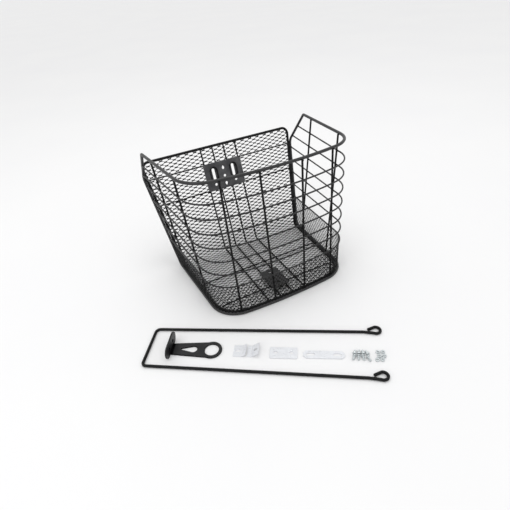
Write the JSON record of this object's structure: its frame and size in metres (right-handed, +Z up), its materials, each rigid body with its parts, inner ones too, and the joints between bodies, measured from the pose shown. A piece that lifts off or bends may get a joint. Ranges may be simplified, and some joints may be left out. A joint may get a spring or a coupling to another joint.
{
  "type": "bicycle handlebar basket",
  "caption": "Black wire basket for a bicycle's handlebar, with a leaning mesh back, laid out with its stay, head bracket, clips, plates, screws and nuts.",
  "frame": {"origin": "centre of the laid-out kit's footprint, on the floor", "axes": "+Z is up. +Y runs from the basket's bowed front to its leaning back. +X runs from the head bracket's side of the kit to the nuts' side."},
  "size_m": [0.5119, 0.5742, 0.293],
  "materials": {
    "black_paint": "satin black powder coat",
    "zinc": "bright zinc plate"
  },
  "bodies": {
    "basket": {"back_bracket": "black_paint", "back_cross_wire_lower": "black_paint", "back_cross_wire_upper": "black_paint", "base_cross_wire_front": "black_paint", "base_cross_wire_rear": "black_paint", "level_wire_1": "black_paint", "level_wire_2": "black_paint", "level_wire_3": "black_paint", "level_wire_4": "black_paint", "level_wire_5": "black_paint", "level_wire_6": "black_paint", "level_wire_7": "black_paint", "long_wire_1": "black_paint", "long_wire_2": "black_paint", "long_wire_3": "black_paint", "long_wire_4": "black_paint", "panel_frame": "black_paint", "panel_mesh": "black_paint", "rim_wire": "black_paint", "skirt_mesh": "black_paint", "stay_plate": "black_paint", "upright_front_inner_left": "black_paint", "upright_front_inner_right": "black_paint", "upright_front_outer_left": "black_paint", "upright_front_outer_right": "black_paint", "upright_side_front_left": "black_paint", "upright_side_front_right": "black_paint", "upright_side_rear_left": "black_paint", "upright_side_rear_right": "black_paint"},
    "stay": {"stay": "black_paint"},
    "head_bracket": {"head_bracket": "black_paint"},
    "clip_left": {"clip_left": "zinc"},
    "clip_right": {"clip_right": "zinc"},
    "clamp_plate": {"clamp_plate": "zinc"},
    "slotted_strip": {"slotted_strip": "zinc"},
    "screws": {"screw_1": "zinc", "screw_2": "zinc", "screw_3": "zinc", "screw_4": "zinc", "screw_5": "zinc", "screw_6": "zinc", "screw_7": "zinc", "screw_8": "zinc"},
    "nuts": {"nut_1": "zinc", "nut_2": "zinc", "nut_3": "zinc", "nut_4": "zinc", "nut_5": "zinc", "nut_6": "zinc"}
  },
  "joints": [
    {"name": "stay_lift", "type": "slide", "parent": "basket", "child": "stay", "axis": [0, 0, 1], "range_m": [0, 0.06]},
    {"name": "head_bracket_lift", "type": "slide", "parent": "basket", "child": "head_bracket", "axis": [0, 0, 1], "range_m": [0, 0.06]},
    {"name": "clip_left_lift", "type": "slide", "parent": "basket", "child": "clip_left", "axis": [0, 0, 1], "range_m": [0, 0.06]},
    {"name": "clip_right_lift", "type": "slide", "parent": "basket", "child": "clip_right", "axis": [0, 0, 1], "range_m": [0, 0.06]},
    {"name": "clamp_plate_lift", "type": "slide", "parent": "basket", "child": "clamp_plate", "axis": [0, 0, 1], "range_m": [0, 0.06]},
    {"name": "slotted_strip_lift", "type": "slide", "parent": "basket", "child": "slotted_strip", "axis": [0, 0, 1], "range_m": [0, 0.06]},
    {"name": "screws_lift", "type": "slide", "parent": "basket", "child": "screws", "axis": [0, 0, 1], "range_m": [0, 0.06]},
    {"name": "nuts_lift", "type": "slide", "parent": "basket", "child": "nuts", "axis": [0, 0, 1], "range_m": [0, 0.06]}
  ]
}
